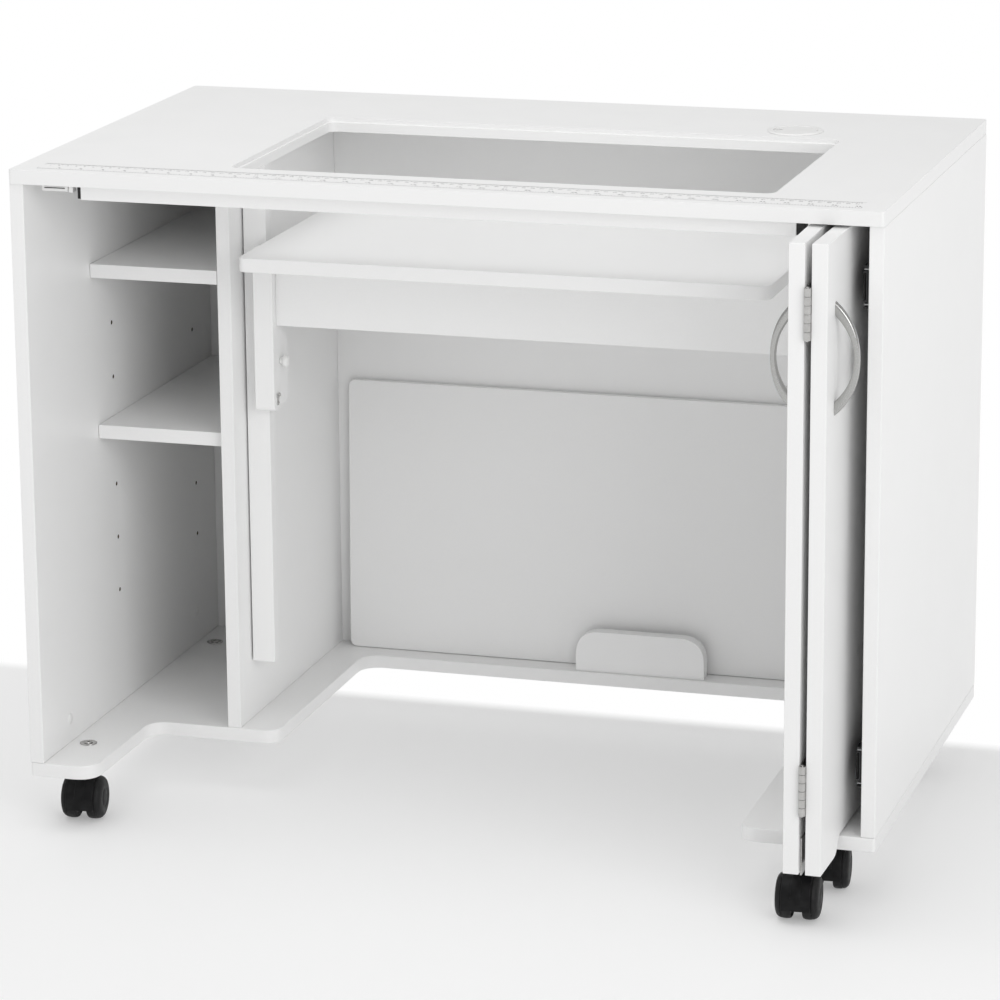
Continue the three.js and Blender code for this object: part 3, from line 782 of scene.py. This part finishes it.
def make_cover_caps():
    """Press-in caps over the carcass fittings, on the inner faces of the side panels."""
    bm = bmesh.new()
    inner_left = (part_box("left_side_panel")[1].x - ORIGIN.x) / MM
    inner_right = (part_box("right_side_panel")[0].x - ORIGIN.x) / MM
    for y, z in ((83, 44), (493, 55)):
        for x, way in ((inner_left, 1), (inner_right, -1)):
            verts = add_turned(bm, [(0, -0.3), (6.3, -0.3), (6.3, 0.3), (5.6, 0.8), (0, 1)], 28)
            turn = Matrix.Rotation(math.radians(90 * way), 4, "Y")
            bmesh.ops.transform(bm, matrix=Matrix.Translation((x, y, z)) @ turn, verts=verts)
    bmesh.ops.transform(bm, matrix=cabinet_frame(0, 0, 0), verts=bm.verts)
    piece("cover_caps", bm, "cabinet", (WHITE,))


def make_back_nails():
    """Small round nail heads that hold the thin back panel to the carcass."""
    bm = bmesh.new()
    back = (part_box("back_panel")[1].y - ORIGIN.y) / MM
    turn = Matrix.Rotation(math.radians(-90), 4, "X")
    places = [(x, z) for x in range(60, 950, 105) for z in (24, 671)]
    places += [(x, z) for x in (24, 946) for z in range(110, 640, 105)]
    for x, z in places:
        verts = add_turned(bm, [(0, -0.3), (2.4, -0.3), (2.3, 0.25), (1.4, 0.5), (0, 0.55)], 14)
        bmesh.ops.transform(bm, matrix=Matrix.Translation((x, back, z)) @ turn, verts=verts)
    bmesh.ops.transform(bm, matrix=cabinet_frame(0, 0, 0), verts=bm.verts)
    piece("back_panel_nails", bm, "cabinet", (ZINC,))


make_magnet_catch()
make_cover_caps()
make_back_nails()


# ---- floor, light and camera ---------------------------------------------------------------------
def make_floor():
    bm = bmesh.new()
    bmesh.ops.create_grid(bm, x_segments=1, y_segments=1, size=30)
    mesh = bpy.data.meshes.new("floor")
    bm.to_mesh(mesh)
    bm.free()
    mat = finish("studio_floor", (0.94, 0.94, 0.94), 0.55)
    shader = shader_of(mat)
    shader.inputs["Specular IOR Level"].default_value = 0.2
    # the floor glows, a painted light: at 28% even under the table, where it lightens the table's shadow, rising
    # to plain white away from the table, so no horizon shows
    nodes, links = mat.node_tree.nodes, mat.node_tree.links
    reach = nodes.new("ShaderNodeVectorMath")
    reach.operation = "LENGTH"
    links.new(place(mat), reach.inputs[0])
    glow = nodes.new("ShaderNodeMapRange")
    for name, value in (("From Min", 0.6), ("From Max", 2.0), ("To Min", 0.28), ("To Max", 1.0)):
        glow.inputs[name].default_value = value
    glow.interpolation_type = "SMOOTHSTEP"
    links.new(reach.outputs["Value"], glow.inputs["Value"])
    # behind the table's back the floor glows plain white at once, a painted light that cuts the table's shadow off
    # at a straight edge
    depth = nodes.new("ShaderNodeSeparateXYZ")
    links.new(place(mat), depth.inputs[0])
    behind = nodes.new("ShaderNodeMapRange")
    for name, value in (("From Min", 0.32), ("From Max", 0.36), ("To Min", 0.0), ("To Max", 1.0)):
        behind.inputs[name].default_value = value
    links.new(depth.outputs["Y"], behind.inputs["Value"])
    brighter = nodes.new("ShaderNodeMath")
    brighter.operation = "MAXIMUM"
    links.new(glow.outputs["Result"], brighter.inputs[0])
    links.new(behind.outputs["Result"], brighter.inputs[1])
    white = nodes.new("ShaderNodeEmission")
    mix = nodes.new("ShaderNodeMixShader")
    links.new(brighter.outputs["Value"], mix.inputs["Fac"])
    links.new(shader.outputs["BSDF"], mix.inputs[1])
    links.new(white.outputs["Emission"], mix.inputs[2])
    links.new(mix.outputs["Shader"], nodes["Material Output"].inputs["Surface"])
    mesh.materials.append(mat)
    floor = bpy.data.objects.new("floor", mesh)
    bpy.context.scene.collection.objects.link(floor)


def make_lamp(name, place_m, target, size, watts):
    lamp = bpy.data.lights.new(name, "AREA")
    lamp.shape = "RECTANGLE"
    lamp.size, lamp.size_y = size
    lamp.energy = watts
    obj = bpy.data.objects.new(name, lamp)
    obj.location = place_m
    obj.rotation_euler = (Vector(target) - Vector(place_m)).to_track_quat("-Z", "Y").to_euler()
    bpy.context.scene.collection.objects.link(obj)


def make_surroundings():
    """A white studio: the camera sees plain white past the floor, and the object a softer sky."""
    world = bpy.data.worlds.new("studio")
    world.use_nodes = True
    bpy.context.scene.world = world
    nodes, links = world.node_tree.nodes, world.node_tree.links
    seen, sky = nodes["Background"], nodes.new("ShaderNodeBackground")
    seen.inputs["Color"].default_value = (1, 1, 1, 1)
    seen.inputs["Strength"].default_value = 1.0
    sky.inputs["Color"].default_value = (1, 1, 1, 1)
    sky.inputs["Strength"].default_value = 0.52
    path, mix = nodes.new("ShaderNodeLightPath"), nodes.new("ShaderNodeMixShader")
    links.new(path.outputs["Is Camera Ray"], mix.inputs["Fac"])
    links.new(sky.outputs["Background"], mix.inputs[1])
    links.new(seen.outputs["Background"], mix.inputs[2])
    links.new(mix.outputs["Shader"], nodes["World Output"].inputs["Surface"])


def make_camera():
    camera = bpy.data.cameras.new("camera")
    camera.sensor_width = 36
    camera.lens = 153.76
    camera.clip_end = 100
    obj = bpy.data.objects.new("camera", camera)
    obj.location = (1.35, -4.473975, 1.6013)
    obj.rotation_euler = [math.radians(a) for a in (75.128734, 0.42779, 16.700806)]
    bpy.context.scene.collection.objects.link(obj)
    bpy.context.scene.camera = obj


make_floor()
make_lamp("overhead", (-0.5, -0.6, 3.4), (0, 0, 0.4), (3.0, 2.6), 42)
make_lamp("front_right", (2.9, -2.9, 2.0), (0, 0, 0.3), (2.6, 2.0), 50)
make_surroundings()
make_camera()
bpy.context.scene.view_settings.view_transform = "Standard"
